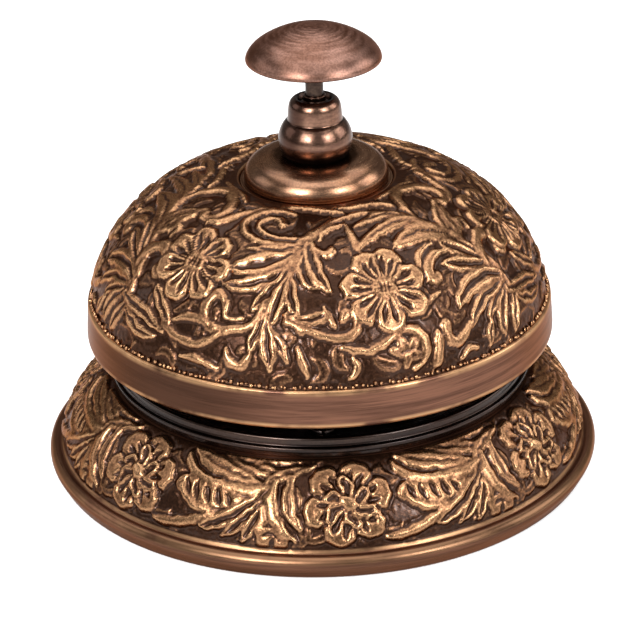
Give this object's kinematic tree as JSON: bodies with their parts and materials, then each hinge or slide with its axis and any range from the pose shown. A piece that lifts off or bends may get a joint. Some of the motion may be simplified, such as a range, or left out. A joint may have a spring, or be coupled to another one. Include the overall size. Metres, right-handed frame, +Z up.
{
  "type": "service bell",
  "caption": "Counter service bell: cast base, domed bell on a hollow post, and a push button whose rod swings a striker against the inside of the dome.",
  "frame": {"origin": "middle of the felt's underside, on the bell's axis", "axes": "+Z up along the bell's axis, +X towards the side where the striker hits the dome"},
  "size_m": [0.11, 0.11, 0.0903],
  "materials": {
    "antique_cast": "cast relief with an antique patina, dark in the hollows and worn on the high points",
    "blackened_ring": "blackened, satin",
    "polished_bronze": "polished dark bronze",
    "spun_copper": "spun, with fine rings",
    "bright_steel": "turned",
    "spring_steel": "spring steel",
    "zinc_screws": "zinc plated",
    "striker_brass": "turned brass",
    "fibre": "vulcanised fibre",
    "felt": "black felt"
  },
  "bodies": {
    "base": {"base_flange": "antique_cast", "base_collar": "blackened_ring", "deck_plate": "blackened_ring", "deck_screws": "blackened_ring", "bottom_plate": "bright_steel", "foot_screws": "zinc_screws", "felt_pad": "felt", "center_post": "bright_steel", "post_nut": "zinc_screws", "post_washer": "zinc_screws", "bell_dome": "antique_cast", "seat_washer": "fibre", "cap_ring": "blackened_ring", "cap": "polished_bronze", "barrel_nut": "polished_bronze", "guide_bush": "polished_bronze", "pivot_bracket": "bright_steel", "bracket_screw": "zinc_screws", "pivot_pin": "zinc_screws", "pin_clip": "spring_steel"},
    "plunger": {"button": "spun_copper", "plunger_rod": "bright_steel", "rod_clip": "spring_steel", "spring_washer": "zinc_screws", "return_spring": "spring_steel"},
    "striker": {"striker_arm": "spring_steel", "striker_head": "striker_brass", "striker_rivet": "striker_brass"}
  },
  "joints": [
    {"name": "plunger_press", "type": "slide", "parent": "base", "child": "plunger", "axis": [0, 0, -1], "range_m": [0, 0.0044], "stiffness_N_per_m": 500, "springref_m": -0.002, "deforming": ["return_spring"]},
    {"name": "striker_swing", "type": "hinge", "parent": "base", "child": "striker", "pos_m": [0.01248, 0, 0.047], "axis": [0, -1, 0], "range_deg": [0, 20.05]}
  ],
  "couplings": [
    {"joint": "striker_swing", "follows": "plunger_press", "rad_per_m": 79.333}
  ]
}
